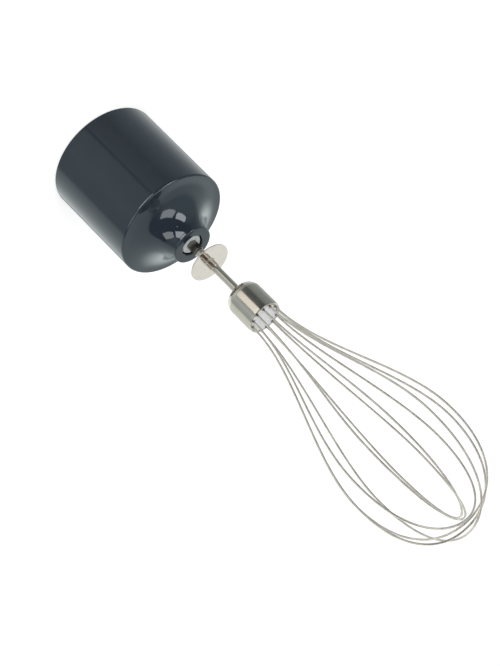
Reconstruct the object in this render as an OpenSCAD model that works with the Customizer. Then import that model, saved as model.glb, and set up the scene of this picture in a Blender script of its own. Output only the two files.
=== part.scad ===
// Whisk attachment for a hand blender, standing on the open rim of its drive collar.
// Z runs along the shaft, from the rim at zero up to the crown of the wire cage.
// The collar holds a planetary reduction gear, and the whisk lifts out of its output hub.

/* [Collar] */
// Outer radius of the collar at its open rim
rim_r = 30; // [28:0.1:32]
// Outer radius at the shoulder, less by the draft of the mould
shoulder_r = 29.57; // [28:0.01:30]
// Height of the shoulder above the rim
shoulder_z = 57; // [56.5:0.05:57.5]
// Radius that rounds the shoulder
shoulder_round = 0.8; // [0.3:0.1:1.5]
// Slope of the bell beside the shoulder, in degrees
bell_slope = 7.5; // [6:0.5:10]
// Radius of the hollow sweep from the bell into the neck
bell_sweep = 12; // [11:0.5:12.5]
// Height where the sweep ends on the straight nose
neck_z = 72.15; // [71.8:0.05:72.5]
// Outer radius of the nose
nose_r = 10.6; // [10.4:0.1:11]
// Height of the nose's flat face
nose_z = 73.6; // [73.2:0.1:75]
// Radius that rounds the edge of the nose
nose_round = 0.5; // [0.2:0.1:0.8]
// Radius of the opening in the nose
mouth_r = 5.85; // [5.6:0.05:6]
// Wall thickness of the bell
wall = 2.2; // [1.8:0.1:2.4]
// Radius of the socket that takes the motor body
socket_r = 27.4; // [27.2:0.1:27.6]
// Depth of the socket
socket_depth = 22; // [21:0.5:22]

/* [Gear train] */
// Size of a tooth: pitch diameter over tooth count
gear_module = 0.8; // [0.78:0.01:0.8]
// Teeth on the sun pinion
sun_teeth = 12; // [12:12:12]
// Teeth on each planet
planet_teeth = 18; // [18:18:18]
// Height of a tooth above the pitch circle, in modules
addendum = 0.85; // [0.7:0.05:0.85]
// Depth of a tooth below the pitch circle, in modules
dedendum = 1.1; // [1:0.05:1.15]
// Play between mating flanks, taken half from each gear
backlash = 0.12; // [0.08:0.01:0.2]
// Running clearance of each shaft in its bush, on the radius
running_gap = 0.07; // [0.03:0.01:0.1]

/* [Whisk head] */
// Radius of the steel shaft
shaft_r = 2; // [1.9:0.05:2.1]
// Outer radius of the sleeve that carries the splash disc
sleeve_r = 2.4; // [2.3:0.05:2.6]
// Radius of the splash disc
disc_r = 10.9; // [10:0.1:12]
// Height of the splash disc's upper face
disc_z = 87.2; // [86:0.1:88]
// Outer radius of the ferrule
ferrule_r = 8.95; // [8.8:0.05:9.2]
// Height where the ferrule's dome starts on the shaft
ferrule_z = 108; // [106:0.5:110]
// Height of the ferrule's open mouth
ferrule_mouth_z = 129.5; // [129:0.5:130]
// Radius that rounds the ferrule's dome
dome_round = 5.4; // [4:0.1:6]

/* [Wires] */
// Thickness of the whisk wire
wire_d = 1.05; // [0.9:0.05:1.1]
// Radius of the circle of wire holes
hole_circle_r = 7.3; // [7.2:0.05:7.4]
// Turn of the hole circle about the shaft, in degrees
hole_turn = 2.2; // [0:0.1:5]
// Height of each loop's crown
crown_z = [261.8, 269.4, 266.5, 268, 264.7, 263.3]; // [255:0.1:275]
// Height at which each loop is widest
bulge_z = [222, 225, 224.6, 226.3, 224, 221]; // [215:0.1:235]
// Half width of each loop on its first side
near_r = [25.9, 28.5, 28.8, 29.3, 30.5, 29.2]; // [24:0.1:32]
// Half width of each loop on its second side
far_r = [26.2, 30.2, 31.7, 28.2, 31.1, 27]; // [24:0.1:32]
// Lean of each loop's crown within its own plane
lean_in = [0.5, 0.5, 2.7, -2.8, -2.3, -0.8]; // [-4:0.1:4]
// Lean of each loop's crown out of its own plane
lean_out = [-1.2, -2.1, 0, -1.6, -2.8, -1.8]; // [-4:0.1:4]
// Twist of each loop between its holes and its widest part, in degrees
twist = [-1.1, -0.2, 0.8, -8, 1.9, -3]; // [-10:0.1:10]

/* [Hidden] */
$fn = 96;

// Gear sizes that follow from the module and the tooth counts
planets = 3;
ring_teeth = sun_teeth + 2 * planet_teeth;
orbit_r = gear_module * (sun_teeth + planet_teeth) / 2;
pressure = 20;
flank_steps = 4;

// Heights of the pieces inside the collar, from the socket's floor upwards
cover_plate_t = 3;
coupling_z = socket_depth + 0.4;
coupling_h = 6.8;
well_depth = 7.5;
boss_top = socket_depth + 11.2;
ring_z = socket_depth + 13.5;
ledge_z = socket_depth + 24.5;
lower_plate_z = socket_depth + 12.2;
plate_t = 2.2;
gear_z = lower_plate_z + plate_t + 0.4;
gear_h = 8.4;
upper_plate_z = gear_z + gear_h + 0.4;
upper_plate_t = 3;
hub_z = upper_plate_z + upper_plate_t;
hub_flange_t = 2.5;
washer_z = hub_z + hub_flange_t;
washer_t = 0.8;
tube_z = washer_z + washer_t + 0.3;
bush_top = nose_z - 4.3;
seal_top = nose_z - 2.4;
hub_top = nose_z - 0.8;

// Radii of the pieces inside the collar
chamber_r = 27;
seat_gap = 0.05;
skirt_r = 21;
ledge_r = 24.6;
screw_circle = 24;
screw_r = 1.25;
screw_hole_r = 1.35;
screw_head_r = 2.25;
plate_r = 17.6;
pin_r = 1.5;
input_shaft_r = 2.5;
bush_r = 4.5;
coupling_r = 6;
tube_r = 10.4;
tube_bore = 8;
spindle_r = 5.42;
hub_flange_r = 15.5;
boss_r = 3.2;

// Heights along the whisk
shaft_foot_z = 56;
shaft_top_z = 126;
hex_across = 4.8;
hex_turn = 16;
hex_foot_z = nose_z - 9.6;
sleeve_foot_z = 78.6;
sleeve_top_z = 91.8;
disc_t = 0.5;
core_z = 114;
core_top_z = ferrule_mouth_z - 0.45;
skin_t = 0.55;
core_r = ferrule_r - skin_t - 0.03;
wire_foot_z = 118;

// Steps and shape of a wire: the flare leaves the core along Z, the crown is a rounded arch
loops = 6;
loop_step = 180 / loops;
first_hole = 105;
wire_sides = 8;
flare_steps = 13;
crown_steps = 15;
flare_pull = 0.33;
bulge_pull = 0.3;
crown_pull = 0.677;
crown_width_pull = 0.565;

// Plain helpers
function unit(v) = v / norm(v);
function mix(a, b, t) = a + (b - a) * t;
function polar(r, a) = [r * cos(a), r * sin(a)];
function arc(c, r, a0, a1, n) = [for (k = [0:n]) c + polar(r, mix(a0, a1, k / n))];
function clamp01(x) = min(1, max(0, x));
function ease(x) = x * x * (3 - 2 * x);
function bezier(p, t) =
    pow(1 - t, 3) * p[0] + 3 * pow(1 - t, 2) * t * p[1] + 3 * (1 - t) * t * t * p[2]
    + pow(t, 3) * p[3];

// Bell section, inset from the outer skin: a wide hollow arc, then a tighter one up the neck
bell_normal = [sin(bell_slope), cos(bell_slope)];
shoulder_c = [shoulder_r, shoulder_z] - shoulder_round * [1, tan((90 - bell_slope) / 2)];
sweep_c = [nose_r + bell_sweep, neck_z];
dish_start = shoulder_c + shoulder_round * bell_normal;
dish_gap = dish_start - sweep_c;
dish_r = (bell_sweep * bell_sweep - dish_gap * dish_gap) / 2 / (dish_gap * bell_normal + bell_sweep);
dish_c = dish_start + dish_r * bell_normal;
join_slope = atan2(dish_c[0] - sweep_c[0], dish_c[1] - sweep_c[1]);
function slope_at(c, arc_r, r) = asin(min(1, (c[0] - r) / arc_r));
function hollow(c, arc_r, s0, s1) =
    [for (k = [0:10]) c - arc_r * [sin(mix(s0, s1, k / 10)), cos(mix(s0, s1, k / 10))]];
function bell(inset, r_out, r_in) =
    let (wide = dish_r + inset, tight = bell_sweep + inset,
         neck = hollow(sweep_c, tight, join_slope, slope_at(sweep_c, tight, r_in)))
    concat(hollow(dish_c, wide, slope_at(dish_c, wide, r_out), join_slope),
           [for (k = [1:10]) neck[k]]);

// Involute gears: the angle of a flank at radius r, and the outline of all the teeth
function inv(a) = tan(a) * 180 / PI - a;
function flank_angle(n, r, play) =
    let (pitch = gear_module * n / 2, base = pitch * cos(pressure))
    90 / n - play / pitch * 90 / PI + inv(pressure) - inv(acos(min(1, base / r)));
function tooth_radii(n, root, tip) =
    let (start = max(root + 0.01, gear_module * n / 2 * cos(pressure)))
    concat([root], [for (k = [0:flank_steps]) mix(start, tip, k / flank_steps)]);
function gear_outline(n, root, tip, play, turn = 0) =
    let (radii = tooth_radii(n, root, tip), last = len(radii) - 1)
    [for (t = [0:n - 1], k = [0:2 * last + 1])
        let (r = radii[k <= last ? k : 2 * last + 1 - k], side = k <= last ? -1 : 1)
        polar(r, turn + t * 360 / n + side * flank_angle(n, r, play))];
function tip_r(n) = gear_module * (n / 2 + addendum);
function root_r(n) = gear_module * (n / 2 - dedendum);

// Path of one wire: up from the core, round the crown and down on the other side
function half_loop(r, z_wide, z_top) =
    let (rise = z_wide - ferrule_mouth_z, drop = z_top - z_wide)
    concat(
        [[hole_circle_r, wire_foot_z]],
        [for (k = [0:flare_steps - 1]) bezier([
            [hole_circle_r, ferrule_mouth_z], [hole_circle_r, ferrule_mouth_z + flare_pull * rise],
            [r, z_wide - bulge_pull * rise], [r, z_wide]], k / flare_steps)],
        [for (k = [0:crown_steps]) bezier([
            [r, z_wide], [r, z_wide + crown_pull * drop],
            [crown_width_pull * r, z_top], [0, z_top]], k / crown_steps)]);
function loop_angle(i, z) =
    -(first_hole + i * loop_step + hole_turn
      + twist[i] * ease(clamp01((z - ferrule_mouth_z) / (bulge_z[i] - ferrule_mouth_z))));
function loop_point(i, side, p) =
    let (lean = pow(clamp01((p[1] - ferrule_mouth_z) / (crown_z[i] - ferrule_mouth_z)), 2),
         a = loop_angle(i, p[1]), x = side * p[0] + lean * lean_in[i], y = lean * lean_out[i])
    [x * cos(a) - y * sin(a), x * sin(a) + y * cos(a), p[1]];
function loop_path(i) =
    let (up = half_loop(near_r[i], bulge_z[i], crown_z[i]),
         down = half_loop(far_r[i], bulge_z[i], crown_z[i]), last = len(up) - 1)
    concat([for (p = up) loop_point(i, 1, p)],
           [for (k = [last - 1:-1:0]) loop_point(i, -1, down[k])]);

// A round tube along a path, with its rings square to the path
module tube_along(path, r, across) {
    n = len(path);
    points = [for (k = [0:n - 1])
        let (t = unit(path[min(k + 1, n - 1)] - path[max(k - 1, 0)]),
             u = unit(cross(across, t)), v = cross(t, u))
        for (s = [0:wire_sides - 1])
            path[k] + r * (cos(s * 360 / wire_sides) * u + sin(s * 360 / wire_sides) * v)];
    sides = [for (k = [0:n - 2], s = [0:wire_sides - 1])
        let (a = k * wire_sides + s, b = k * wire_sides + (s + 1) % wire_sides)
        each [[a, a + wire_sides, b], [b, a + wire_sides, b + wire_sides]]];
    foot = [[for (s = [0:wire_sides - 1]) s]];
    head = [[for (s = [wire_sides - 1:-1:0]) (n - 1) * wire_sides + s]];
    polyhedron(points, concat(sides, foot, head));
}

module ring(r_out, r_in, z, h) {
    translate([0, 0, z]) difference() {
        cylinder(r = r_out, h = h);
        translate([0, 0, -1]) cylinder(r = r_in, h = h + 2);
    }
}

module hex_prism(across, h) {
    rotate(hex_turn) cylinder(r = across / 2 / cos(30), h = h, $fn = 6);
}

module around(count, r, start = 0) {
    for (k = [0:count - 1]) rotate(start + k * 360 / count) translate([r, 0, 0]) children();
}

// Moulded housing: socket wall, gear chamber with its ledge, bell, neck and nose tube
module collar_housing() color([0.2, 0.23, 0.27]) {
    edge = 0.3;
    inner = bell(wall, chamber_r, tube_r);
    section = concat(
        [[socket_r, 0], [rim_r - edge, 0], [rim_r, edge]],
        arc(shoulder_c, shoulder_round, 0, 90 - bell_slope, 6),
        [for (k = [1:20]) bell(0, dish_start[0], nose_r)[k]],
        arc([nose_r - nose_round, nose_z - nose_round], nose_round, 0, 90, 5),
        [[mouth_r + edge, nose_z], [mouth_r, nose_z - edge], [mouth_r, seal_top],
         [tube_bore, seal_top], [tube_bore, tube_z], [tube_r, tube_z]],
        [for (k = [20:-1:0]) inner[k]],
        [[chamber_r, ledge_z + 2], [ledge_r, ledge_z + 2], [ledge_r, ledge_z], [chamber_r, ledge_z],
         [chamber_r, socket_depth], [socket_r, socket_depth]]);
    envelope = concat(
        [[0, ledge_z], [chamber_r + 1, ledge_z]],
        bell(wall / 2, chamber_r + 1, tube_r),
        [[tube_r - 0.5, nose_z - 8], [0, nose_z - 8]]);
    difference() {
        union() {
            rotate_extrude() polygon(section);
            intersection() {
                union() {
                    housing_ribs();
                    around(3, screw_circle) translate([0, 0, ledge_z]) cylinder(r = boss_r, h = 20);
                }
                rotate_extrude() polygon(envelope);
            }
        }
        around(3, screw_circle) translate([0, 0, ledge_z - 1]) cylinder(r = screw_r, h = 8);
        latch_pockets();
    }
}

// Ribs that tie the nose tube to the bell from inside
module housing_ribs() {
    rib_t = 1.4;
    rib_z = tube_z + 2;
    rib_reach = 23;
    for (k = [0:5])
        rotate(30 + k * 60) translate([tube_r - 0.6, -rib_t / 2, rib_z])
            cube([rib_reach - tube_r, rib_t, 16]);
}

// Two pockets in the socket wall for the spring latches of the motor body
module latch_pockets() {
    pocket = [3, 9, 5];
    depth = 1.1;
    for (side = [0, 180])
        rotate(side) translate([socket_r + depth - pocket[0], -pocket[1] / 2, 9]) cube(pocket);
}

// Cover of the gear chamber: plate, skirt, ribbed boss with a well for the coupling
module gearbox_cover() color([0.75, 0.76, 0.78]) {
    rib_h = 5;
    difference() {
        union() {
            translate([0, 0, socket_depth]) cylinder(r = chamber_r - seat_gap, h = cover_plate_t);
            ring(chamber_r - seat_gap, skirt_r, socket_depth + 1, ring_z - socket_depth - 1);
            translate([0, 0, socket_depth]) cylinder(r = 9, h = boss_top - socket_depth);
            around(6, 8, 30) translate([0, -0.7, socket_depth + 1])
                cube([skirt_r - 7, 1.4, cover_plate_t + rib_h]);
        }
        translate([0, 0, socket_depth - 1]) cylinder(r = coupling_r + 0.4, h = well_depth + 1);
        cylinder(r = bush_r, h = boss_top + 1);
        around(3, screw_circle) {
            cylinder(r = screw_hole_r, h = ring_z + 1);
            cylinder(r = screw_head_r + 0.25, h = socket_depth + 2);
        }
    }
}

// Three long screws that clamp the cover and the ring gear to the housing
module cover_screws() color([0.7, 0.7, 0.72]) around(3, screw_circle) {
    head_z = socket_depth + 0.4;
    head_h = 1.6;
    difference() {
        union() {
            translate([0, 0, head_z]) cylinder(r = screw_head_r, h = head_h);
            translate([0, 0, head_z]) cylinder(r = screw_r - 0.02, h = ledge_z + 6 - head_z);
        }
        for (a = [0, 90])
            rotate(a) translate([-1.4, -0.3, head_z - 1]) cube([2.8, 0.6, 1.9]);
    }
}

// Internal gear that the planets roll in
module ring_gear() color([0.82, 0.82, 0.8]) translate([0, 0, ring_z]) {
    space_root = gear_module * (ring_teeth / 2 - addendum);
    space_tip = gear_module * (ring_teeth / 2 + dedendum);
    linear_extrude(ledge_z - ring_z - seat_gap) difference() {
        circle(r = chamber_r - seat_gap);
        polygon(gear_outline(ring_teeth, space_root, space_tip, -backlash / 2, 180 / ring_teeth));
        around(3, screw_circle) circle(r = screw_hole_r);
    }
}

module input_bush() color([0.72, 0.55, 0.3])
    ring(bush_r, input_shaft_r + running_gap, socket_depth + well_depth + 0.1,
         boss_top - socket_depth - well_depth - 0.3);

// Flanged bush that the output hub turns in
module nose_bush() color([0.72, 0.55, 0.3]) ring(tube_bore, spindle_r + running_gap, tube_z, bush_top - tube_z);

// Soft lip ring above the bush
module nose_seal() color([0.12, 0.12, 0.12]) {
    lip = spindle_r + 0.1;
    rotate_extrude() polygon([
        [tube_bore, bush_top + 0.05], [tube_bore, seal_top - 0.05], [lip + 0.9, seal_top - 0.05],
        [lip, seal_top - 0.5], [lip, seal_top - 1], [lip + 1.4, bush_top + 0.05]]);
}

// Drive dog with a six lobed socket for the motor's spindle
module drive_coupling() color([0.9, 0.9, 0.88]) translate([0, 0, coupling_z]) {
    socket_h = 4.6;
    edge = 0.4;
    difference() {
        rotate_extrude() polygon([
            [0, 0], [coupling_r - edge, 0], [coupling_r, edge], [coupling_r, coupling_h - edge],
            [coupling_r - edge, coupling_h], [0, coupling_h]]);
        translate([0, 0, -1]) linear_extrude(socket_h + 1) difference() {
            circle(r = 4.5);
            around(6, 4.5) circle(r = 0.9, $fn = 32);
        }
        cylinder(r = input_shaft_r, h = coupling_h + 1);
    }
}

// Sun pinion turned and hobbed in one piece with its input shaft
module sun_pinion() color([0.62, 0.63, 0.65]) {
    groove_z = boss_top + 0.15;
    pilot_r = 1.5;
    translate([0, 0, gear_z - 0.2]) linear_extrude(gear_h)
        polygon(gear_outline(sun_teeth, root_r(sun_teeth), tip_r(sun_teeth), backlash / 2));
    difference() {
        translate([0, 0, coupling_z + 4.6]) cylinder(r = input_shaft_r, h = gear_z - coupling_z - 4.7);
        ring(input_shaft_r + 1, input_shaft_r - 0.35, groove_z, 0.5);
    }
    translate([0, 0, gear_z]) cylinder(r = pilot_r, h = upper_plate_z + 2 - gear_z);
}

// Open clip in the input shaft's groove, which keeps the coupling from pulling out
module sun_circlip() color([0.45, 0.46, 0.48]) translate([0, 0, boss_top + 0.2])
    linear_extrude(0.4) difference() {
        circle(r = 3.9);
        circle(r = input_shaft_r - 0.33);
        translate([1.5, -1, 0]) square([4, 2]);
    }

module planet_pin(k) color([0.66, 0.67, 0.69]) rotate(k * 360 / planets)
    translate([orbit_r, 0, lower_plate_z]) cylinder(r = pin_r, h = hub_z + 1.5 - lower_plate_z);

module planet_gear(k) color([0.9, 0.89, 0.84])
    rotate(k * 360 / planets) translate([orbit_r, 0, gear_z]) {
        linear_extrude(gear_h - 0.2) difference() {
            polygon(gear_outline(planet_teeth, root_r(planet_teeth), tip_r(planet_teeth),
                                 backlash / 2, 180 / planet_teeth));
            circle(r = pin_r + running_gap);
        }
    }

// Lower cage ring of the carrier, with three windows between the pins
module carrier_ring() color([0.78, 0.78, 0.76]) translate([0, 0, lower_plate_z])
    linear_extrude(plate_t) difference() {
        circle(r = plate_r);
        circle(r = 6.8);
        around(planets, orbit_r) circle(r = pin_r);
        around(planets, orbit_r + 1, 60) circle(r = 3);
    }

// Upper plate of the carrier, with a pilot hole for the sun pinion
module carrier_plate() color([0.78, 0.78, 0.76]) translate([0, 0, upper_plate_z])
    linear_extrude(upper_plate_t) difference() {
        circle(r = plate_r);
        circle(r = 1.5 + running_gap);
        around(planets, orbit_r) circle(r = pin_r);
    }

module thrust_washer() color([0.8, 0.8, 0.82]) ring(tube_r - 0.6, spindle_r + 0.25, washer_z, washer_t);

// White output hub: flange on the carrier, spindle, round bore and hexagonal drive socket
module output_hub() color([0.94, 0.94, 0.93]) {
    edge = 0.35;
    neck_r = spindle_r - 0.12;
    flange_top = hub_z + hub_flange_t;
    groove_z = 62;
    groove_r = 4.2;
    difference() {
        rotate_extrude() polygon([
            [0, hub_z], [hub_flange_r, hub_z], [hub_flange_r, flange_top - edge],
            [hub_flange_r - edge, flange_top], [spindle_r, flange_top], [spindle_r, groove_z],
            [groove_r, groove_z], [groove_r, groove_z + 1.4], [spindle_r, groove_z + 1.4],
            [spindle_r, bush_top], [neck_r, bush_top + 0.3], [neck_r, hub_top - edge],
            [neck_r - edge, hub_top], [0, hub_top]]);
        translate([0, 0, shaft_foot_z - 1]) cylinder(r = shaft_r + running_gap, h = 30);
        translate([0, 0, hex_foot_z - 0.4]) hex_prism(hex_across + 0.3, 30);
        around(planets, orbit_r) translate([0, 0, hub_z - 1]) cylinder(r = pin_r, h = 2.5);
    }
}

// Spring ring in the hub's groove
module hub_spring() color([0.6, 0.61, 0.62]) translate([0, 0, 62.7])
    rotate_extrude(angle = 300) translate([4.75, 0]) circle(r = 0.5, $fn = 24);

// Ground shaft with a hexagonal drive section, a catch groove and a tapered foot
module whisk_shaft() color([0.75, 0.75, 0.74]) {
    groove_z = 62.2;
    foot_h = 1;
    difference() {
        union() {
            translate([0, 0, shaft_foot_z]) cylinder(r1 = shaft_r - 0.6, r2 = shaft_r, h = foot_h);
            translate([0, 0, shaft_foot_z + foot_h])
                cylinder(r = shaft_r, h = shaft_top_z - shaft_foot_z - foot_h);
            translate([0, 0, hex_foot_z]) hex_prism(hex_across, sleeve_foot_z - hex_foot_z);
        }
        ring(shaft_r + 1, shaft_r - 0.4, groove_z, 1);
    }
}

// Sleeve pressed on the shaft, with a chamfer at both ends
module disc_sleeve() color([0.82, 0.81, 0.78]) {
    lead = 1;
    rotate_extrude() polygon([
        [shaft_r, sleeve_foot_z], [sleeve_r - 0.3, sleeve_foot_z], [sleeve_r, sleeve_foot_z + lead],
        [sleeve_r, sleeve_top_z - 0.4], [sleeve_r - 0.25, sleeve_top_z], [shaft_r, sleeve_top_z]]);
}

// Splash disc with a low drawn collar round the sleeve
module splash_disc() color([0.86, 0.85, 0.82]) {
    collar_h = 0.7;
    collar_r = 3.5;
    edge = 0.12;
    foot = disc_z - disc_t;
    rotate_extrude() polygon(concat(
        [[sleeve_r, foot], [disc_r - edge, foot], [disc_r, foot + edge], [disc_r, disc_z - edge],
         [disc_r - edge, disc_z]],
        [for (k = [0:6]) let (t = k / 6)
            [mix(collar_r, sleeve_r + 0.15, t), disc_z + collar_h * ease(t)]],
        [[sleeve_r, disc_z + collar_h]]));
}

// Drawn steel ferrule: domed top on the shaft, straight wall, beaded mouth
module ferrule() color([0.74, 0.72, 0.68]) {
    dome_c = [ferrule_r - dome_round, ferrule_z + dome_round];
    bead_h = 1.1;
    bead_out = 0.1;
    lip = 0.25;
    inner_r = ferrule_r - skin_t;
    rotate_extrude() polygon(concat(
        [[shaft_r, ferrule_z]],
        arc(dome_c, dome_round, -90, 0, 16),
        [for (k = [0:6]) let (t = k / 6)
            [ferrule_r + bead_out * sin(180 * t), ferrule_mouth_z - lip - bead_h * (1 - t)]],
        [[ferrule_r - lip, ferrule_mouth_z], [inner_r + 0.1, ferrule_mouth_z],
         [inner_r, ferrule_mouth_z - 0.3]],
        arc(dome_c, dome_round - skin_t, 0, -90, 16),
        [[shaft_r, ferrule_z + skin_t]]));
}

// White core that grips the wire ends
module wire_core() color([0.93, 0.94, 0.95]) {
    edge = 0.25;
    difference() {
        rotate_extrude() polygon([
            [0, core_z], [core_r - edge, core_z], [core_r, core_z + edge], [core_r, core_top_z - edge],
            [core_r - edge, core_top_z], [0, core_top_z]]);
        translate([0, 0, core_z - 1]) cylinder(r = shaft_r, h = shaft_top_z - core_z + 1);
        around(2 * loops, hole_circle_r, -(first_hole + hole_turn))
            translate([0, 0, wire_foot_z - 0.5]) cylinder(r = wire_d / 2 + 0.03, h = 20, $fn = 24);
    }
}

module whisk_wire(i) color([0.7, 0.69, 0.66]) {
    a = loop_angle(i, 0);
    tube_along(loop_path(i), wire_d / 2, [-sin(a), cos(a), 0]);
}

collar_housing();
gearbox_cover();
cover_screws();
ring_gear();
input_bush();
nose_bush();
nose_seal();
drive_coupling();
sun_pinion();
sun_circlip();
carrier_ring();
carrier_plate();
planet_pin(0);  // planet_pin_1
planet_pin(1);  // planet_pin_2
planet_pin(2);  // planet_pin_3
planet_gear(0);  // planet_gear_1
planet_gear(1);  // planet_gear_2
planet_gear(2);  // planet_gear_3
thrust_washer();
output_hub();
hub_spring();
whisk_shaft();
disc_sleeve();
splash_disc();
ferrule();
wire_core();
whisk_wire(0);  // whisk_wire_1
whisk_wire(1);  // whisk_wire_2
whisk_wire(2);  // whisk_wire_3
whisk_wire(3);  // whisk_wire_4
whisk_wire(4);  // whisk_wire_5
whisk_wire(5);  // whisk_wire_6
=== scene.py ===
"""Whisk attachment of a hand blender, standing on the rim of its drive collar. Metres, Z along the shaft."""
import math

import bmesh
import bpy
from mathutils import Matrix, Vector

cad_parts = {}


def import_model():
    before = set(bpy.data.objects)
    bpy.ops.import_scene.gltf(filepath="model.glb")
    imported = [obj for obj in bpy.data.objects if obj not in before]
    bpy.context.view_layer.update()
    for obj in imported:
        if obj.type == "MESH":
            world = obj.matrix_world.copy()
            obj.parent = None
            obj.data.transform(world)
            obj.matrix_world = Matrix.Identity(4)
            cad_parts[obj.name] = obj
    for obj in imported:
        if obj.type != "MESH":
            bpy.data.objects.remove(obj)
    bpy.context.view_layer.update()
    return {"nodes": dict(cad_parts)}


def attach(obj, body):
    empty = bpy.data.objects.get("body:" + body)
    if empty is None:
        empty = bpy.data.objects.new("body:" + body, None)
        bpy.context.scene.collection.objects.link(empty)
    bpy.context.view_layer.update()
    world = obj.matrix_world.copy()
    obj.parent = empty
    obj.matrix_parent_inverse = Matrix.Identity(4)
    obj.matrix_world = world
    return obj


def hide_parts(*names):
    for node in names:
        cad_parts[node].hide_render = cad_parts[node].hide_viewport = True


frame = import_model()
MM = 0.001
NODES = frame["nodes"]
ROOM_TINT = (0.89, 1.03, 1.07, 1)
TENT_TINT = (0.95, 1.03, 1.02, 1)
scene = bpy.context.scene


# Colour and node helpers

def lin(*rgb):
    """An 8 bit colour as the linear RGBA that a socket takes."""
    return [((c / 255 + 0.055) / 1.055) ** 2.4 if c > 10 else c / 255 / 12.92 for c in rgb] + [1.0]


class Tree:
    """Short calls for building a node tree."""

    def __init__(self, owner):
        owner.use_nodes = True
        self.t = owner.node_tree
        self.t.nodes.clear()

    def add(self, kind, props=None, **inputs):
        n = self.t.nodes.new(kind)
        for k, v in (props or {}).items():
            setattr(n, k, v)
        for k, v in inputs.items():
            self.put(n, k.replace("_", " "), v)
        return n

    def put(self, n, name, v):
        socket = n.inputs[int(name)] if name.isdigit() else n.inputs[name]
        if isinstance(v, bpy.types.NodeSocket):
            self.t.links.new(v, socket)
        elif v is not None:
            socket.default_value = v

    def link(self, a, b):
        self.t.links.new(a, b)

    def math(self, op, a, b=None, c=None, clamp=False):
        n = self.add("ShaderNodeMath", {"operation": op, "use_clamp": clamp})
        for k, v in enumerate((a, b, c)):
            if v is not None:
                self.put(n, str(k), v)
        return n.outputs[0]

    def dot(self, a, v):
        n = self.add("ShaderNodeVectorMath", {"operation": "DOT_PRODUCT"})
        self.put(n, "0", a)
        self.put(n, "1", tuple(v))
        return n.outputs["Value"]

    def ramp(self, fac, stops, mode="LINEAR"):
        n = self.add("ShaderNodeValToRGB")
        n.color_ramp.interpolation = mode
        e = n.color_ramp.elements
        while len(e) < len(stops):
            e.new(0.5)
        for k, (pos, col) in enumerate(stops):
            e[k].position = pos
            e[k].color = col if isinstance(col, (list, tuple)) else (col, col, col, 1)
        self.put(n, "Fac", fac)
        return n.outputs["Color"]

    def noise(self, vec, scale, detail=3.0, rough=0.55):
        n = self.add("ShaderNodeTexNoise", Scale=scale, Detail=detail, Roughness=rough)
        self.put(n, "Vector", vec)
        return n.outputs["Fac"]

    def mix(self, fac, a, b, kind="MIX"):
        n = self.add("ShaderNodeMix", {"data_type": "RGBA", "blend_type": kind})
        self.put(n, "Factor", fac)
        for name, v in (("A", a), ("B", b)):
            s = [i for i in n.inputs if i.name == name and i.type == "RGBA"][0]
            if isinstance(v, bpy.types.NodeSocket):
                self.t.links.new(v, s)
            else:
                s.default_value = v
        return [o for o in n.outputs if o.type == "RGBA"][0]

    def span(self, v, lo, hi, to_lo, to_hi):
        n = self.add("ShaderNodeMapRange", {"clamp": True})
        for k, x in (("Value", v), ("From Min", lo), ("From Max", hi), ("To Min", to_lo), ("To Max", to_hi)):
            self.put(n, k, x)
        return n.outputs[0]

    def soft(self, v, lo, hi):
        """A smooth step from 0 at lo to 1 at hi."""
        n = self.add("ShaderNodeMapRange", {"interpolation_type": "SMOOTHSTEP"})
        for k, x in (("Value", v), ("From Min", lo), ("From Max", hi), ("To Min", 0.0), ("To Max", 1.0)):
            self.put(n, k, x)
        return n.outputs[0]

    def place(self, scale=(1, 1, 1)):
        co = self.add("ShaderNodeTexCoord").outputs["Object"]
        n = self.add("ShaderNodeMapping")
        self.put(n, "Vector", co)
        n.inputs["Scale"].default_value = scale
        return n.outputs["Vector"]

    def turned(self, along, around):
        """Coordinates that run along Z and round it, for the marks of turning and drawing."""
        co = self.add("ShaderNodeSeparateXYZ")
        self.put(co, "Vector", self.add("ShaderNodeTexCoord").outputs["Object"])
        angle = self.math("ARCTAN2", co.outputs["Y"], co.outputs["X"])
        radius = self.math("SQRT", self.math("ADD", self.math("MULTIPLY", co.outputs["X"], co.outputs["X"]),
                                             self.math("MULTIPLY", co.outputs["Y"], co.outputs["Y"])))
        out = self.add("ShaderNodeCombineXYZ")
        self.put(out, "X", self.math("MULTIPLY", angle, around))
        self.put(out, "Y", self.math("MULTIPLY", radius, along))
        self.put(out, "Z", self.math("MULTIPLY", co.outputs["Z"], along))
        return out.outputs[0]


def principled(name, **inputs):
    m = bpy.data.materials.new(name)
    t = Tree(m)
    p = t.add("ShaderNodeBsdfPrincipled")
    out = t.add("ShaderNodeOutputMaterial")
    t.link(p.outputs[0], out.inputs["Surface"])
    for k, v in inputs.items():
        t.put(p, k.replace("_", " "), v)
    return m, t, p


def bump(t, p, height, distance, strength=1.0):
    b = t.add("ShaderNodeBump", Strength=strength, Distance=distance)
    t.put(b, "Height", height)
    t.link(b.outputs[0], p.inputs["Normal"])


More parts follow.
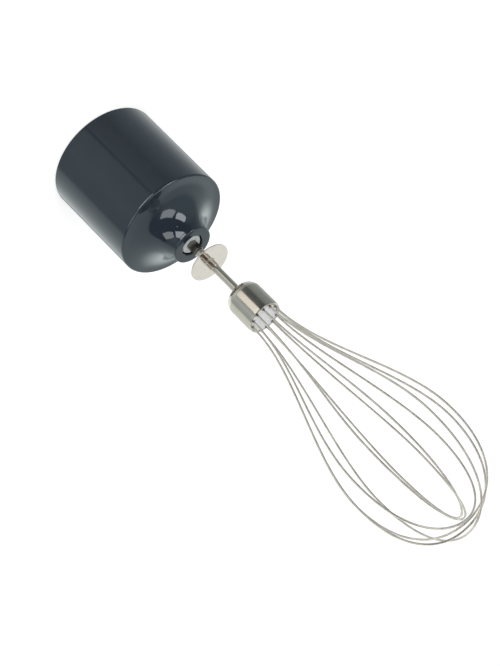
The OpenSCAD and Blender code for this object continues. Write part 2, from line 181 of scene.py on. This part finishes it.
def plastic(name, colour, rough, spread=0.03, tint=0.06, peel=0.000004, gloss=(1, 1, 1), scatter=0.0):
    """Moulded plastic: slight colour drift, uneven gloss, and the faint ripple of the mould."""
    m, t, p = principled(name, IOR=1.5, Specular_Tint=tuple(gloss) + (1,))
    co = t.place()
    drift = t.noise(co, 60, 2)
    dark = [c * (1 - tint) for c in colour[:3]] + [1]
    light = [min(1, c * (1 + tint)) for c in colour[:3]] + [1]
    t.put(p, "Base Color", t.ramp(drift, [(0.3, dark), (0.7, light)]))
    wipe = t.noise(t.place((1, 1, 0.15)), 500, 4, 0.6)
    t.put(p, "Roughness", t.span(wipe, 0.35, 0.7, rough - spread, rough + spread))
    ripple = t.math("ADD", t.noise(co, 160, 2), t.math("MULTIPLY", t.noise(co, 2600, 2), 0.12))
    bump(t, p, ripple, peel)
    if scatter:
        p.inputs["Subsurface Weight"].default_value = scatter
        p.inputs["Subsurface Scale"].default_value = 0.001
        p.inputs["Subsurface Radius"].default_value = (1, 1, 0.9)
    return m


def metal(name, colour, rough, spread=0.04, aniso=0.0, along=4000, around=1.2, depth=0.0000015, tint=0.05, painted_shade=None, metallic=1.0):
    """Turned, ground or drawn metal: fine marks round the axis, and slight changes of gloss and tone.

    painted_shade is a row of (height in mm, level): painted shade, the base colour darkened by height where the part
    sits in a recess or hole.
    """
    m, t, p = principled(name, Metallic=metallic)
    marks = t.noise(t.turned(along, around), 1.0, 3, 0.6)
    cloud = t.noise(t.place(), 220, 3)
    dark = [c * (1 - tint) for c in colour[:3]] + [1]
    light = [min(1, c * (1 + tint)) for c in colour[:3]] + [1]
    tone = t.ramp(cloud, [(0.3, dark), (0.7, light)])
    # Painted shade: the base colour is multiplied down by height, standing in for the shade in recesses and holes.
    if painted_shade:
        z = t.add("ShaderNodeSeparateXYZ")
        t.put(z, "Vector", t.add("ShaderNodeTexCoord").outputs["Object"])
        lo, hi = painted_shade[0][0], painted_shade[-1][0]
        level = t.ramp(t.span(z.outputs["Z"], lo * MM, hi * MM, 0, 1), [((h - lo) / (hi - lo), v) for h, v in painted_shade])
        tone = t.mix(1.0, tone, level, "MULTIPLY")
    t.put(p, "Base Color", tone)
    t.put(p, "Roughness", t.span(t.math("ADD", t.math("MULTIPLY", marks, 0.6), t.math("MULTIPLY", cloud, 0.4)),
                                 0.35, 0.65, rough - spread, rough + spread))
    if aniso:
        p.inputs["Anisotropic"].default_value = aniso
        p.inputs["Anisotropic Rotation"].default_value = 0.25
        g = t.add("ShaderNodeTangent", {"direction_type": "RADIAL", "axis": "Z"})
        t.link(g.outputs[0], p.inputs["Tangent"])
    bump(t, p, marks, depth)
    return m


# Mesh helpers

def finish_mesh(name, bm, body, material, replaced, sharp=32):
    mesh = bpy.data.meshes.new(name)
    bm.normal_update()
    bm.to_mesh(mesh)
    bm.free()
    mesh.shade_smooth()
    mesh.set_sharp_from_angle(angle=math.radians(sharp))
    obj = bpy.data.objects.new(name, mesh)
    scene.collection.objects.link(obj)
    mesh.materials.append(material)
    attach(obj, body)
    if replaced:
        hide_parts(*replaced)
    return obj


def carve(obj, bm, name):
    """Cut the solid in bm out of obj, and keep the result as its mesh."""
    mesh = bpy.data.meshes.new(name)
    bm.to_mesh(mesh)
    bm.free()
    tool = bpy.data.objects.new(name, mesh)
    scene.collection.objects.link(tool)
    cut = obj.modifiers.new(name, "BOOLEAN")
    cut.operation, cut.object, cut.solver = "DIFFERENCE", tool, "EXACT"
    bpy.context.view_layer.update()
    cut_mesh = bpy.data.meshes.new_from_object(obj.evaluated_get(bpy.context.evaluated_depsgraph_get()))
    obj.modifiers.clear()
    cut_mesh.name = obj.data.name
    obj.data = cut_mesh
    obj.data.set_sharp_from_angle(angle=math.radians(32))
    bpy.data.objects.remove(tool)


def lathe(profile, segments=144):
    """A closed solid from a closed profile of (radius, height) in mm. Points on the axis become poles."""
    bm = bmesh.new()
    rings = []
    for r, z in profile:
        if r < 1e-6:
            rings.append([bm.verts.new((0, 0, z * MM))])
        else:
            rings.append([bm.verts.new((r * MM * math.cos(a), r * MM * math.sin(a), z * MM))
                          for a in (2 * math.pi * k / segments for k in range(segments))])
    for a, b in zip(rings, rings[1:] + rings[:1]):
        for k in range(segments):
            j = (k + 1) % segments
            quad = [a[k % len(a)], a[j % len(a)], b[j % len(b)], b[k % len(b)]]
            face = []
            for v in quad:
                if v not in face:
                    face.append(v)
            if len(face) > 2:
                bm.faces.new(face)
    bmesh.ops.recalc_face_normals(bm, faces=bm.faces)
    return bm


def arc(c, r, a0, a1, n):
    return [(c[0] + r * math.cos(math.radians(a0 + (a1 - a0) * k / n)),
             c[1] + r * math.sin(math.radians(a0 + (a1 - a0) * k / n))) for k in range(n + 1)]


def spread(points, step):
    """The same outline with long straight stretches cut into steps."""
    out = []
    for (r0, z0), (r1, z1) in zip(points, points[1:]):
        n = max(1, int(math.hypot(r1 - r0, z1 - z0) / step))
        out += [(r0 + (r1 - r0) * k / n, z0 + (z1 - z0) * k / n) for k in range(n)]
    return out + [points[-1]]


def ease(x):
    x = min(1.0, max(0.0, x))
    return x * x * (3 - 2 * x)


# Camera, from a pinhole fitted to the rims of the photograph's collar, nose, disc and ferrule

def camera():
    turn, tilt = math.radians(45.57), math.radians(28.28)
    along = Vector((math.cos(turn) * math.cos(tilt), math.sin(turn) * math.cos(tilt), -math.sin(tilt)))
    ahead = Vector((0, 0, 1))
    near = (along * along.z - ahead).normalized()
    side = along.cross(near)
    right = Vector((side.x, -near.x, along.x))
    down = Vector((side.y, -near.y, along.y))
    forward = Vector((side.z, -near.z, along.z))
    data = bpy.data.cameras.new("camera")
    data.sensor_fit = "VERTICAL"
    data.sensor_height = 24
    data.lens = 12 * 1525.1 / 333
    data.clip_start = 0.01
    data.clip_end = 20
    obj = bpy.data.objects.new("camera", data)
    scene.collection.objects.link(obj)
    origin = Vector((-72.87, -88.31, 767.78)) * MM
    place = -(right * origin.x + down * origin.y + forward * origin.z)
    m = Matrix((right, -down, -forward)).transposed().to_4x4()
    m.translation = place
    obj.matrix_world = m
    scene.camera = obj
    return right, down, forward


RIGHT, DOWN, FORWARD = camera()


# Materials

housing = plastic("housing_plastic", (0.0222, 0.03, 0.0422), 0.07, 0.015, 0.05, 0.0000008, (0.93, 1.035, 1.06))
cover = plastic("cover_plastic", lin(196, 198, 202), 0.4, 0.08, peel=0.00001)
gear_white = plastic("gear_plastic", lin(226, 224, 214), 0.35, 0.06)
coupling = plastic("coupling_plastic", lin(42, 43, 46), 0.4, 0.06)
hub_white = plastic("hub_plastic", lin(214, 219, 220), 0.32, 0.05, 0.03, scatter=0.3)
core_white = plastic("core_plastic", lin(238, 240, 242), 0.34, 0.06, 0.03, scatter=0.3)
rubber = plastic("seal_rubber", lin(32, 33, 34), 0.6, 0.08, peel=0.00001)
bronze = metal("bush_bronze", lin(196, 158, 96), 0.4, 0.08)
screw = metal("screw_steel", lin(196, 196, 200), 0.28)
gear_steel = metal("gear_steel", lin(178, 180, 184), 0.25)
plate_steel = metal("carrier_steel", lin(206, 206, 202), 0.3)
spring_steel = metal("spring_steel", lin(150, 152, 155), 0.25)
# shaft_steel carries painted shade: its hex drive, z 72 to 78.6 mm inside the hub's mouth, is darkened to stand in for
# the mouth's shade.
shaft_steel = metal("shaft_steel", lin(208, 201, 189), 0.3, 0.04, 0.0, 9000, 2, 0.0000001,
                    painted_shade=[(72, 0.5), (75, 0.46), (76, 0.27), (77.4, 0.27), (78.3, 0.38), (78.6, 1)])
sleeve_steel = metal("sleeve_steel", lin(205, 199, 188), 0.2, 0.03, 0.0, 9000, 2, 0.0000001, metallic=0.85)
# satin_steel carries painted shade: the lead of the sleeve foot, z 79 to 79.4 mm at the hub's mouth, is darkened.
satin = metal("satin_steel", lin(222, 216, 205), 0.5, 0.05, 0.0, 9000, 2, 0.0000001,
              painted_shade=[(79, 0.25), (79.2, 0.25), (79.4, 1)])
polished = metal("polished_steel", lin(217, 207, 198), 0.09, 0.02, 0.0, 2500, 1.5, 0.0000001, 0.035)
brushed = metal("ferrule_steel", lin(204, 196, 183), 0.15, 0.03, 0.5, 9000, 0.8, 0.0000001, 0.03)
# wire_steel carries painted shade: each wire's foot, z 129.4 to 131.2 mm where it leaves its hole in the core, is
# darkened.
wire_steel = metal("wire_steel", lin(230, 223, 213), 0.38, 0.04, 0.0, 900, 3.0, 0.00000005, 0.16,
                   painted_shade=[(129.4, 0.3), (129.6, 0.3), (131.2, 1)], metallic=0.85)

for names, material in (
    ("gearbox_cover", cover), ("cover_screws", screw), ("ring_gear planet_gear_1 planet_gear_2 planet_gear_3", gear_white),
    ("input_bush nose_bush", bronze), ("nose_seal", rubber), ("drive_coupling", coupling),
    ("sun_pinion planet_pin_1 planet_pin_2 planet_pin_3", gear_steel), ("sun_circlip hub_spring", spring_steel),
    ("carrier_ring carrier_plate thrust_washer", plate_steel), ("output_hub", hub_white), ("whisk_shaft", shaft_steel),
    ("disc_sleeve", sleeve_steel), ("wire_core", core_white), ("collar_housing", housing), ("ferrule", brushed),
    ("splash_disc", polished)):
    for name in names.split():
        obj = NODES[name]
        obj.data.materials.clear()
        obj.data.materials.append(material)


# Collar: bell and wall are lathed again with a finer step than the CAD solid

def collar():
    rim, edge, nose, nose_z, mouth, wall, rnd, nose_rnd = 30, 0.3, 10.6, 73.6, 5.85, 2.2, 0.8, 0.5
    slope, sweep, centre = 7.5, 12, (22.6, 72.15)
    shoulder = (29.57 - rnd, 57 - rnd * math.tan(math.radians((90 - slope) / 2)))
    out = (math.sin(math.radians(slope)), math.cos(math.radians(slope)))
    start = (shoulder[0] + rnd * out[0], shoulder[1] + rnd * out[1])
    gap = (start[0] - centre[0], start[1] - centre[1])
    dish = (sweep ** 2 - gap[0] ** 2 - gap[1] ** 2) / 2 / (gap[0] * out[0] + gap[1] * out[1] + sweep)
    dish_c = (start[0] + dish * out[0], start[1] + dish * out[1])
    join = math.degrees(math.atan2(dish_c[0] - centre[0], dish_c[1] - centre[1]))

    def bell(inset, r_out, r_in, n):
        def slope_at(c, r, at):
            return math.degrees(math.asin(min(1, (c[0] - at) / r)))
        wide, tight = dish + inset, sweep + inset
        return (arc(dish_c, wide, -90 - slope_at(dish_c, wide, r_out), -90 - join, n)
                + arc(centre, tight, -90 - join, -90 - slope_at(centre, tight, r_in), n)[1:])

    seam = (shoulder[0] + rnd + 0.004, shoulder[1] - 0.5)
    upper = [seam] + arc(shoulder, rnd, 0, 90 - slope, 8) + bell(0, start[0], nose, 30)[1:]
    upper += arc((nose - nose_rnd, nose_z - nose_rnd), nose_rnd, 0, 90, 8)
    upper += [(mouth + edge, nose_z), (mouth, nose_z - edge), (mouth, 71.2), (8, 71.2), (8, 52.2), (10.4, 52.2)]
    upper += bell(wall, 27, 10.4, 15)[::-1]
    lower = [(27.4, 0), (rim - edge, 0), (rim, edge), seam, upper[-1], (27, 48.5), (24.6, 48.5), (24.6, 46.5), (27, 46.5),
             (27, 22), (27.4, 22)]
    finish_mesh("collar_bell", lathe(spread(upper, 4), 180), "collar", housing, ["collar_housing"])
    obj = finish_mesh("collar_wall", lathe(spread(lower, 4), 180), "collar", housing,
                      ["collar_housing"])
    cutter = bmesh.new()
    for side in (1, -1):
        made = bmesh.ops.create_cube(cutter, size=1)["verts"]
        bmesh.ops.scale(cutter, vec=(3 * MM, 9 * MM, 5 * MM), verts=made)
        bmesh.ops.translate(cutter, vec=(side * 27.0 * MM, 0, 11.5 * MM), verts=made)
    carve(obj, cutter, "latch_cutter")


collar()


# Polished metal that shows: disc, sleeve, ferrule, and the core in the ferrule's mouth

MOUTH, HOLE_R, FIRST = 129.5, 7.3, 107.2


def disc():
    r, edge, top, foot = 10.9, 0.12, 87.2, 86.7
    profile = [(2.4, foot), (r - edge, foot)] + arc((r - edge, foot + edge), edge, -90, 0, 4)[1:]
    profile += arc((r - edge, top - edge), edge, 0, 90, 4) + [(2.4, top)]
    finish_mesh("disc_plate", lathe(spread(profile, 1.5), 160), "whisk", polished, ["splash_disc"])
    rise = [(3.1 + (2.5 - 3.1) * k / 12, top + 0.7 * ease(k / 12)) for k in range(13)]
    finish_mesh("disc_collar", lathe([(2.4, top)] + rise + [(2.4, top + 0.7)], 96), "whisk", satin,
                ["splash_disc"])


def sleeve():
    foot, lead, plate = 78.6, 79.4, 86.9
    profile = [(2.4, plate), (2.4, 91.4), (2.15, 91.8), (2.0, 91.8), (2.0, plate)]
    finish_mesh("sleeve_tube", lathe(spread(profile, 0.5), 96), "whisk", sleeve_steel, ["disc_sleeve"],
                15)
    profile = [(2.0, foot), (2.25, foot), (2.4, lead), (2.4, plate), (2.0, plate)]
    finish_mesh("sleeve_foot", lathe(spread(profile, 0.5), 96), "whisk", satin, ["disc_sleeve"], 15)


def ferrule():
    """Drawn shell: soft dome, a wall that opens by a hair, and a rim rolled in over the core."""
    r, z0, z1, flat, dome_h, skin, roll, lip = 8.95, 109.2, MOUTH, 2.7, 5.8, 0.55, 0.45, 7.9
    wide = r - 0.02
    c, reach = (flat, z0 + dome_h), wide - flat

    def dome(inset, n):
        return [(c[0] + (reach - inset) * math.cos(math.radians(a)), c[1] + (dome_h - inset) * math.sin(math.radians(a)))
                for a in (-90 + 90 * k / n for k in range(n + 1))]

    profile = [(2.0, z0)] + dome(0, 40) + arc((r - roll, z1 - roll), roll, 0, 90, 10)
    profile += [(lip + 0.1, z1)] + arc((lip + 0.1, z1 - 0.1), 0.1, 90, 180, 3) + [(lip, z1 - 0.5), (8.4, z1 - 0.8)]
    profile += dome(skin, 24)[::-1] + [(2.0, z0 + skin)]
    finish_mesh("ferrule_shell", lathe(spread(profile, 2), 160), "whisk", brushed, ["ferrule"])


def core():
    """White plug under the rim, with a hole round the foot of each wire."""
    r, neck, foot, top, hole, deep = 8.35, 7.82, 114, MOUTH - 0.08, 0.78, 3
    edge = 0.12
    profile = [(0, foot), (r - 0.5, foot), (r, foot + 1), (r, MOUTH - 0.95), (neck, MOUTH - 0.65), (neck, top - edge)]
    profile += arc((neck - edge, top - edge), edge, 0, 90, 4)[1:] + [(0, top)]
    obj = finish_mesh("core_plug", lathe(spread(profile, 2), 144), "whisk", core_white, ["wire_core"])
    holes = bmesh.new()
    for k in range(12):
        a = -math.radians(FIRST + 30 * k)
        place = Matrix.Translation((HOLE_R * MM * math.cos(a), HOLE_R * MM * math.sin(a), (top - deep + 2) * MM))
        bmesh.ops.create_cone(holes, cap_ends=True, segments=32, radius1=hole * MM, radius2=hole * MM,
                              depth=(2 * deep - 2) * MM, matrix=place)
    carve(obj, holes, "wire_holes")


disc()
sleeve()
ferrule()
core()


# Wires: one smooth tube for each loop, on the same curves as the CAD solids

CROWN = [261.8, 269.4, 266.5, 268, 264.7, 263.3]
BULGE = [222, 225, 224.6, 226.3, 224, 221]
NEAR = [25.9, 28.5, 28.8, 29.3, 30.5, 29.2]
FAR = [26.2, 30.2, 31.7, 28.2, 31.1, 27]
LEAN_IN = [0.5, 0.5, 2.7, -2.8, -2.3, -0.8]
LEAN_OUT = [-1.2, -2.1, 0, -1.6, -2.8, -1.8]
TWIST = [-1.1, -0.2, 0.8, -8, 1.9, -3]
WIRE_R = 0.525


def bezier(p, t):
    w = ((1 - t) ** 3, 3 * (1 - t) ** 2 * t, 3 * (1 - t) * t * t, t ** 3)
    return [sum(a * q[k] for a, q in zip(w, p)) for k in (0, 1)]


def half_loop(r, wide, top, steps=(44, 52)):
    rise, drop = wide - MOUTH, top - wide
    low = [(HOLE_R, MOUTH), (HOLE_R, MOUTH + 0.33 * rise), (r, wide - 0.3 * rise), (r, wide)]
    high = [(r, wide), (r, wide + 0.677 * drop), (0.565 * r, top), (0, top)]
    foot = [(HOLE_R, z) for z in (118, 122, 126)]
    return (foot + [bezier(low, k / steps[0]) for k in range(steps[0])]
            + [bezier(high, k / steps[1]) for k in range(steps[1] + 1)])


def loop_path(i):
    def place(side, p):
        r, z = p
        lean = min(1.0, max(0.0, (z - MOUTH) / (CROWN[i] - MOUTH))) ** 2
        a = -math.radians(FIRST + 30 * i + TWIST[i] * ease((z - MOUTH) / (BULGE[i] - MOUTH)))
        x, y = side * r + lean * LEAN_IN[i], lean * LEAN_OUT[i]
        return Vector((x * math.cos(a) - y * math.sin(a), x * math.sin(a) + y * math.cos(a), z)) * MM

    up = [place(1, p) for p in half_loop(NEAR[i], BULGE[i], CROWN[i])]
    down = [place(-1, p) for p in half_loop(FAR[i], BULGE[i], CROWN[i])]
    return up + down[-2::-1]


def tube(path, r, sides=12):
    bm = bmesh.new()
    rings, u = [], None
    for k, p in enumerate(path):
        t = (path[min(k + 1, len(path) - 1)] - path[max(k - 1, 0)]).normalized()
        u = (t.orthogonal() if u is None else u - t * u.dot(t)).normalized()
        v = t.cross(u)
        rings.append([bm.verts.new(p + r * (math.cos(a) * u + math.sin(a) * v))
                      for a in (2 * math.pi * s / sides for s in range(sides))])
    for a, b in zip(rings, rings[1:]):
        for s in range(sides):
            j = (s + 1) % sides
            bm.faces.new((a[s], a[j], b[j], b[s]))
    bm.faces.new(rings[0][::-1])
    bm.faces.new(rings[-1])
    return bm


for i in range(6):
    finish_mesh(f"loop_{i + 1}", tube(loop_path(i), WIRE_R * MM), "whisk", wire_steel,
                [f"whisk_wire_{i + 1}"], 60)


# Floor, surroundings and lamps

def aim(x, y):
    """The direction x degrees right and y degrees up from the line back to the photograph's camera."""
    a = math.radians(math.hypot(x, y))
    k = math.sin(a) / max(1e-6, math.hypot(x, y))
    return RIGHT * (x * k) - DOWN * (y * k) - FORWARD * math.cos(a)


def floor():
    bm = bmesh.new()
    bmesh.ops.create_grid(bm, x_segments=1, y_segments=1, size=4)
    mesh = bpy.data.meshes.new("floor")
    bm.to_mesh(mesh)
    bm.free()
    obj = bpy.data.objects.new("floor", mesh)
    scene.collection.objects.link(obj)
    obj.location.z = -0.0002
    m = bpy.data.materials.new("floor")
    t = Tree(m)
    diffuse = t.add("ShaderNodeBsdfDiffuse", Color=(0.8, 0.8, 0.8, 1))
    path = t.add("ShaderNodeLightPath")
    glow = t.add("ShaderNodeEmission", Color=(1, 1, 1, 1))
    t.put(glow, "Strength", t.math("MULTIPLY", path.outputs["Is Camera Ray"], 0.55))
    both = t.add("ShaderNodeAddShader")
    t.link(diffuse.outputs[0], both.inputs[0])
    t.link(glow.outputs[0], both.inputs[1])
    t.link(both.outputs[0], t.add("ShaderNodeOutputMaterial").inputs["Surface"])
    mesh.materials.append(m)
    obj.visible_glossy = False


def world():
    """White for the camera, an even grey for soft light, and the light tent with its dark front for gloss."""
    w = bpy.data.worlds.new("studio")
    w.cycles.sampling_method = "NONE"
    scene.world = w
    t = Tree(w)
    d = t.add("ShaderNodeTexCoord").outputs["Generated"]
    x, y, z = (t.dot(d, axis) for axis in ((1, 0, 0), (0, 1, 0), (0, 0, 1)))
    turn = t.math("DEGREES", t.math("ARCTAN2", y, x))
    tilt = t.math("DEGREES", t.math("ARCSINE", z))

    def curve(v, *stops):
        lo, hi = stops[0][0], stops[-1][0]
        return t.ramp(t.span(v, lo, hi, 0, 1), [((p - lo) / (hi - lo), level) for p, level in stops])

    def height(v, *stops):
        lo, hi = stops[0][0], stops[-1][0]
        low, high = min(s[1] for s in stops), max(s[1] for s in stops)
        part = t.ramp(t.span(v, lo, hi, 0, 1), [((p - lo) / (hi - lo), (q - low) / (high - low)) for p, q in stops])
        return t.math("MULTIPLY_ADD", part, high - low, low)

    def off(az, el, long, wide, lean):
        """Distance from a soft oval in the tent wall: 1 on its edge, its long axis leaning from the level."""
        c, s = math.cos(math.radians(lean)), math.sin(math.radians(lean))
        u, v = t.math("SUBTRACT", turn, az), t.math("SUBTRACT", tilt, el)
        along = t.math("MULTIPLY_ADD", u, c / long, t.math("MULTIPLY", v, s / long))
        across = t.math("MULTIPLY_ADD", v, c / wide, t.math("MULTIPLY", u, -s / wide))
        return t.math("SQRT", t.math("MULTIPLY_ADD", along, along, t.math("MULTIPLY", across, across)))

    def lump(level, inner, outer, *where):
        return t.math("MULTIPLY", t.soft(off(*where), outer, inner), level)

    low = curve(turn, (-180, 0.33), (-165, 0.28), (-150, 0.2), (-145, 0.1), (-118, 0.1), (-104, 0.28), (-90, 0.44),
                (-14, 0.5), (120, 0.6), (145, 0.45), (165, 0.34), (180, 0.33))
    high = curve(turn, (-180, 0.54), (-160, 0.5), (-148, 0.4), (-136, 0.1), (-128, 0.03), (50, 0.04), (118, 0.2),
                 (132, 0.48), (180, 0.54))
    edge = height(turn, (-180, 4), (-150, -2), (-110, -25), (-30, 8), (110, 14), (180, 4))
    rest = t.mix(t.soft(t.math("SUBTRACT", tilt, edge), -9, 9), low, high)
    rest = t.mix(lump(0.4, 0.15, 1.0, -44, -16, 26, 24, 0), rest, (1, 1, 1, 1))
    rest = t.mix(1.0, rest, ROOM_TINT, "MULTIPLY")

    white = curve(tilt, (-40, 1.05), (-34, 0.98), (-29, 0.86), (-10, 0.98), (20, 1.05), (45, 0.95), (62, 0.82), (78, 0.78))
    for spot in (lump(0.9, 0.15, 1.2, 66, 5, 25, 17, -48), lump(0.75, 0.15, 1.2, 113, -1, 22, 14, 52),
                 lump(0.5, 0.2, 1.2, 109, 44, 24, 11, -82), lump(0.16, 0.2, 1.0, 42, 14, 40, 36, 0)):
        white = t.math("ADD", white, spot)
    dim = t.math("MULTIPLY_ADD", t.soft(tilt, -6, -22), -0.4, t.math("MULTIPLY", t.soft(tilt, -31, -36), -0.2))
    white = t.math("MULTIPLY", white, t.math("MULTIPLY_ADD", dim, t.soft(turn, 56, 76), 1.0))
    for slit in (lump(0.25, 0.2, 1.1, 81.5, 14, 7, 12, 8), lump(0.2, 0.2, 1.1, 101, 15, 8, 14, -8),
                 lump(0.42, 0.7, 1.1, 90, -14, 16, 9.5, 0)):
        white = t.math("MULTIPLY", white, t.math("SUBTRACT", 1.0, slit))
    white = t.mix(1.0, white, TENT_TINT, "MULTIPLY")

    hem = height(tilt, (-90, -5), (30, -5), (40, 0), (48, 6), (58, 16), (68, 26), (74, 34), (79, 46), (90, 90))
    side = t.math("MULTIPLY", t.soft(t.math("SUBTRACT", turn, hem), -5, 6), t.soft(turn, 148, 132))
    side = t.math("MULTIPLY", side, t.soft(tilt, 84, 70))
    seen = t.mix(side, rest, white)
    table = curve(turn, (-180, 0.2), (-152, 0.17), (-121, 0.34), (-86, 0.24), (-55, 0.27), (-13, 0.06), (2, 0.0),
                  (40, 0.33), (62, 0.26), (78, 0.03), (102, 0.05), (124, 0.5), (150, 0.36), (180, 0.2))
    seam = t.math("MULTIPLY", lump(0.25, 0.2, 1.0, -103, -36, 5, 30, 0), -1.0)
    table = t.math("MAXIMUM", t.math("ADD", table, seam), 0.0)
    seen = t.mix(t.soft(tilt, -31.5, -34), seen, table, "ADD")

    path = t.add("ShaderNodeLightPath")
    bright = t.math("MAXIMUM", path.outputs["Is Camera Ray"], path.outputs["Is Transmission Ray"])
    plain = t.add("ShaderNodeBackground", Color=(1, 1, 1, 1))
    t.put(plain, "Strength", t.math("MULTIPLY_ADD", bright, 0.45, 0.55))
    shown = t.add("ShaderNodeBackground", Strength=1.0)
    t.put(shown, "Color", seen)
    pick = t.add("ShaderNodeMixShader")
    t.put(pick, "0", path.outputs["Is Glossy Ray"])
    t.link(plain.outputs[0], pick.inputs[1])
    t.link(shown.outputs[0], pick.inputs[2])
    t.link(pick.outputs[0], t.add("ShaderNodeOutputWorld").inputs["Surface"])


def card(name, power, corners, only=None, tint=(1.0, 0.96, 1.0), far=4.0):
    """A softbox window that only shows in gloss: its corners in degrees round the camera's direction.

    With only, it adds its light in the gloss of those objects alone.
    """
    centre = Vector((0, -0.012, 0.066))
    m = bpy.data.materials.new(name)
    m.cycles.emission_sampling = "FRONT_BACK"
    t = Tree(m)
    glow = t.add("ShaderNodeEmission", Color=tint + (1,), Strength=power)
    out = t.add("ShaderNodeOutputMaterial")
    if only:
        both = t.add("ShaderNodeAddShader")
        t.link(glow.outputs[0], both.inputs[0])
        t.link(t.add("ShaderNodeBsdfTransparent").outputs[0], both.inputs[1])
        t.link(both.outputs[0], out.inputs["Surface"])
    else:
        t.link(glow.outputs[0], out.inputs["Surface"])
    bm = bmesh.new()
    rim = [bm.verts.new(centre + far * aim(x, y)) for x, y in corners]
    mid = bm.verts.new(sum((v.co for v in rim), Vector()) / len(rim))
    for a, b in zip(rim, rim[1:] + rim[:1]):
        bm.faces.new((a, b, mid))
    mesh = bpy.data.meshes.new(name)
    bm.to_mesh(mesh)
    bm.free()
    obj = bpy.data.objects.new(name, mesh)
    scene.collection.objects.link(obj)
    mesh.materials.append(m)
    obj.visible_camera = obj.visible_diffuse = obj.visible_shadow = obj.visible_transmission = False
    if only:
        obj.light_linking.receiver_collection = bpy.data.collections.new(name)
        for lit in only:
            obj.light_linking.receiver_collection.objects.link(lit)


def lamp(name, place, size, power):
    data = bpy.data.lights.new(name, "AREA")
    data.shape = "DISK"
    data.size = size
    data.energy = power
    obj = bpy.data.objects.new(name, data)
    scene.collection.objects.link(obj)
    obj.location = place
    obj.rotation_euler = (Vector((0, 0, 0.13)) - Vector(place)).to_track_quat("-Z", "Y").to_euler()
    obj.visible_camera = obj.visible_glossy = False


floor()
world()
WINDOWS = {
    "left_high": (6.3, [(-50, 7.5), (-53, 12), (-57, 25.5), (-49, 34.5), (-41, 42.5), (-33, 49.5), (-28, 53), (-24.5, 45), (-23, 8)]),
    "left_low": (3.9, [(-48, -3), (-51, -12), (-50, -28), (-44, -46), (-13, -47), (-18, -24), (-25, -4)]),
    "right_high": (6.2, [(24, 39), (30, 42), (46, 38), (51, 32), (52, -6), (45, -6), (29, 0)]),
    "right_low": (4.0, [(32, -14), (45, -14), (54, -17), (52, -28), (46, -41), (32, -45), (35, -31)]),
}
VEIL = 1.4
for name, (power, corners) in WINDOWS.items():
    card(f"veil_{name}", VEIL, corners, tint=(1.0, 0.985, 0.96))
    card(f"window_{name}", power - VEIL, corners, [bpy.data.objects["collar_bell"]], far=3.9)
card("front_spot", 15, [(-2 + 1.6 * math.cos(a), 15 + 1.6 * math.sin(a)) for a in (math.pi * k / 5 for k in range(10))])
lamp("key", (-0.7, -0.9, 1.5), 1.2, 9)
lamp("fill", (1.1, -0.5, 1.2), 1.2, 5)

scene.view_settings.view_transform = "Standard"
